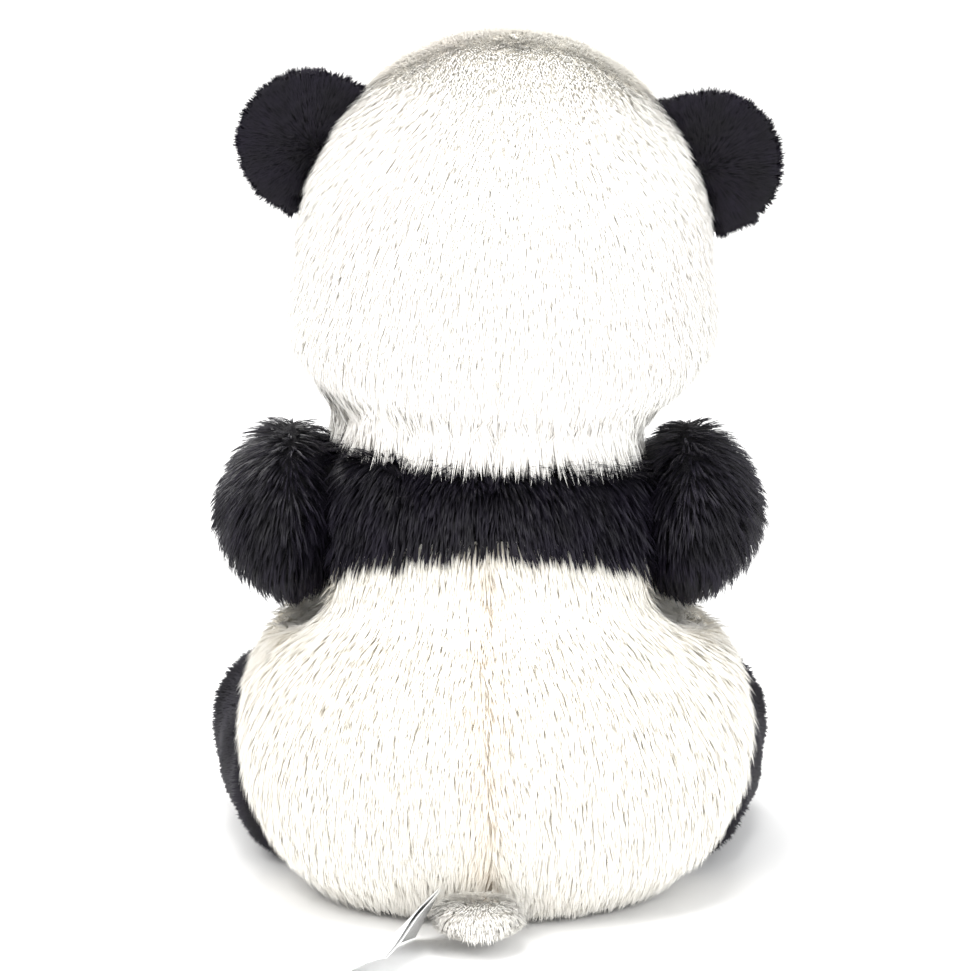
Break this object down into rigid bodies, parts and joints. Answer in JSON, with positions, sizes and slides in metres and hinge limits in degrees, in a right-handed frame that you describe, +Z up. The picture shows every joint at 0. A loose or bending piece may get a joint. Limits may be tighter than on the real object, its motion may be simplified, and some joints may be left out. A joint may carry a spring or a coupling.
{
  "type": "plush panda",
  "caption": "Seated plush panda with sewn black and cream pile panels, soft filling, plastic eyes and nose, and limbs that flex at their seams.",
  "frame": {"origin": "middle of the flat seat that the toy rests on", "axes": "+Z up, the face looks along -Y, +X is the toy's own left"},
  "size_m": [0.2014, 0.2614, 0.2988],
  "materials": {
    "cream_plush": "long soft cream pile, combed down",
    "black_plush": "long soft black pile with a faint blue-violet sheen",
    "black_velour": "short dense nap on the soles",
    "fibre_filling": "loose white polyester fibre",
    "pellets": "woven pouch of small plastic pellets",
    "gloss_black": "polished moulded plastic",
    "nylon": "natural moulded nylon",
    "dark_thread": "thick embroidery thread",
    "satin": "plain white satin tape"
  },
  "bodies": {
    "torso": {"yoke_back_left": "black_plush", "yoke_back_right": "black_plush", "chest_left": "black_plush", "chest_right": "black_plush", "back_panel_left": "cream_plush", "back_panel_right": "cream_plush", "belly_panel_left": "cream_plush", "belly_panel_right": "cream_plush", "seat_base_panel": "cream_plush", "pellet_pouch": "pellets", "body_filling": "fibre_filling"},
    "neck": {"neck_filling": "fibre_filling"},
    "head": {"head_back_left": "cream_plush", "head_back_right": "cream_plush", "cheek_left": "cream_plush", "cheek_right": "cream_plush", "forehead_gusset": "cream_plush", "chin_panel": "cream_plush", "head_filling": "fibre_filling", "muzzle_cover": "cream_plush", "muzzle_filling": "fibre_filling", "nose": "gloss_black", "nose_washer": "nylon", "mouth_stitching": "dark_thread", "eye_patch_left": "black_plush", "eye_left": "gloss_black", "eye_washer_left": "nylon", "eye_patch_right": "black_plush", "eye_right": "gloss_black", "eye_washer_right": "nylon"},
    "ear_left": {"ear_left_front": "black_plush", "ear_left_back": "black_plush"},
    "arm_left": {"arm_left_outer": "black_plush", "arm_left_inner": "black_plush", "arm_left_filling": "fibre_filling"},
    "leg_left": {"leg_left_top": "black_plush", "leg_left_under": "black_plush", "sole_left": "black_velour", "leg_left_filling": "fibre_filling"},
    "ear_right": {"ear_right_front": "black_plush", "ear_right_back": "black_plush"},
    "arm_right": {"arm_right_outer": "black_plush", "arm_right_inner": "black_plush", "arm_right_filling": "fibre_filling"},
    "leg_right": {"leg_right_top": "black_plush", "leg_right_under": "black_plush", "sole_right": "black_velour", "leg_right_filling": "fibre_filling"},
    "tail": {"tail_top": "cream_plush", "tail_under": "cream_plush"},
    "label": {"care_label": "satin"}
  },
  "joints": [
    {"name": "neck_turn", "type": "hinge", "parent": "torso", "child": "neck", "pos_m": [-0.003, -0.006, 0.186], "axis": [-0.0523, 0, 0.9986], "range_deg": [-20, 20], "stiffness_Nm_per_rad": 0.5},
    {"name": "head_nod", "type": "hinge", "parent": "neck", "child": "head", "pos_m": [-0.003, -0.006, 0.186], "axis": [0.9986, 0, 0.0523], "range_deg": [-10, 10], "stiffness_Nm_per_rad": 1.5},
    {"name": "ear_left_flex", "type": "hinge", "parent": "head", "child": "ear_left", "pos_m": [0.05983, -0.006, 0.25802], "axis": [-0.4848, 0, 0.8746], "range_deg": [-20, 20], "stiffness_Nm_per_rad": 0.02},
    {"name": "ear_right_flex", "type": "hinge", "parent": "head", "child": "ear_right", "pos_m": [-0.07301, -0.006, 0.25106], "axis": [0.3907, 0, 0.9205], "range_deg": [-20, 20], "stiffness_Nm_per_rad": 0.02},
    {"name": "arm_left_lift", "type": "hinge", "parent": "torso", "child": "arm_left", "pos_m": [0.065, 0.002, 0.132], "axis": [-1, 0, 0], "range_deg": [0, 20], "stiffness_Nm_per_rad": 0.05},
    {"name": "arm_right_lift", "type": "hinge", "parent": "torso", "child": "arm_right", "pos_m": [-0.065, 0.002, 0.132], "axis": [-1, 0, 0], "range_deg": [0, 20], "stiffness_Nm_per_rad": 0.05},
    {"name": "leg_left_lift", "type": "hinge", "parent": "torso", "child": "leg_left", "pos_m": [0.054, -0.04, 0.0272], "axis": [-0.9744, -0.225, 0], "range_deg": [0, 15], "stiffness_Nm_per_rad": 0.1},
    {"name": "leg_right_lift", "type": "hinge", "parent": "torso", "child": "leg_right", "pos_m": [-0.054, -0.04, 0.0272], "axis": [-0.9744, 0.225, 0], "range_deg": [0, 15], "stiffness_Nm_per_rad": 0.1},
    {"name": "tail_lift", "type": "hinge", "parent": "torso", "child": "tail", "pos_m": [0.004, 0.06986, 0.0172], "axis": [1, 0, 0], "range_deg": [0, 25], "stiffness_Nm_per_rad": 0.01},
    {"name": "label_swing", "type": "hinge", "parent": "torso", "child": "label", "pos_m": [0.021, 0.07143, 0.01], "axis": [0, 0, 1], "range_deg": [-25, 6], "stiffness_Nm_per_rad": 0.002}
  ]
}
